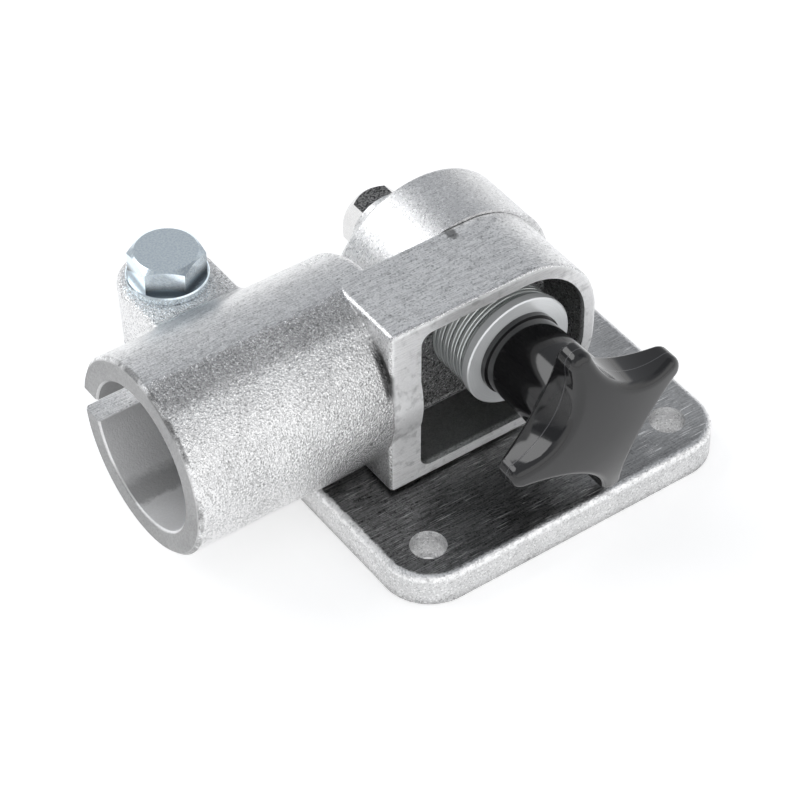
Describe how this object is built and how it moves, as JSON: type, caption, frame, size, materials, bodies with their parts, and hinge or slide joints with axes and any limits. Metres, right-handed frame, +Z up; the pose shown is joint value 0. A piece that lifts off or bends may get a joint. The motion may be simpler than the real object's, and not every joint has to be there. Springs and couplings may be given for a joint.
{
  "type": "profile pivot joint",
  "caption": "Pivot joint: a plate with a lug carries a swivelling tube clamp, held by a sprung pivot bolt and a star knob.",
  "frame": {"origin": "middle of the plate's underside", "axes": "+Z up from the plate; the tube socket lies along X and opens towards -X; the pivot axis lies along Y with the knob at -Y"},
  "size_m": [0.1079, 0.0818, 0.0486],
  "materials": {
    "cast_base": "cast aluminium, blasted, with brushed plate",
    "cast_clamp": "cast aluminium, blasted, with machined faces",
    "zinc_steel": "bright zinc plated steel",
    "spring_steel": "bright spring steel",
    "black_knob": "glossy black thermoplastic",
    "brass_insert": "turned brass"
  },
  "bodies": {
    "base": {"base_plate": "cast_base", "pivot_bolt": "zinc_steel"},
    "arm": {"swivel_clamp": "cast_clamp", "disc_spring_01": "spring_steel", "disc_spring_02": "spring_steel", "disc_spring_03": "spring_steel", "disc_spring_04": "spring_steel", "disc_spring_05": "spring_steel", "disc_spring_06": "spring_steel", "disc_spring_07": "spring_steel", "disc_spring_08": "spring_steel", "disc_spring_09": "spring_steel", "disc_spring_10": "spring_steel", "clamp_bolt": "zinc_steel", "clamp_washer_top": "zinc_steel", "clamp_washer_bottom": "zinc_steel", "clamp_nut": "zinc_steel"},
    "pressure": {"pressure_washer": "zinc_steel"},
    "knob": {"knob_body": "black_knob", "knob_insert": "brass_insert"}
  },
  "joints": [
    {"name": "arm_pivot", "type": "hinge", "parent": "base", "child": "arm", "pos_m": [0.0032, 0, 0.028], "axis": [0, 1, 0], "range_deg": [0, 180]},
    {"name": "pressure_slide", "type": "slide", "parent": "base", "child": "pressure", "axis": [0, 1, 0], "range_m": [-0.00125, 0.00187], "deforming": ["disc_spring_01", "disc_spring_02", "disc_spring_03", "disc_spring_04", "disc_spring_05", "disc_spring_06", "disc_spring_07", "disc_spring_08", "disc_spring_09", "disc_spring_10"]},
    {"name": "knob_turn", "type": "hinge", "parent": "pressure", "child": "knob", "pos_m": [0.0032, -0.0135, 0.028], "axis": [0, 1, 0], "range_deg": [-360, 540]}
  ],
  "couplings": [
    {"joint": "knob_turn", "follows": "pressure_slide", "rad_per_m": 5026.5}
  ]
}
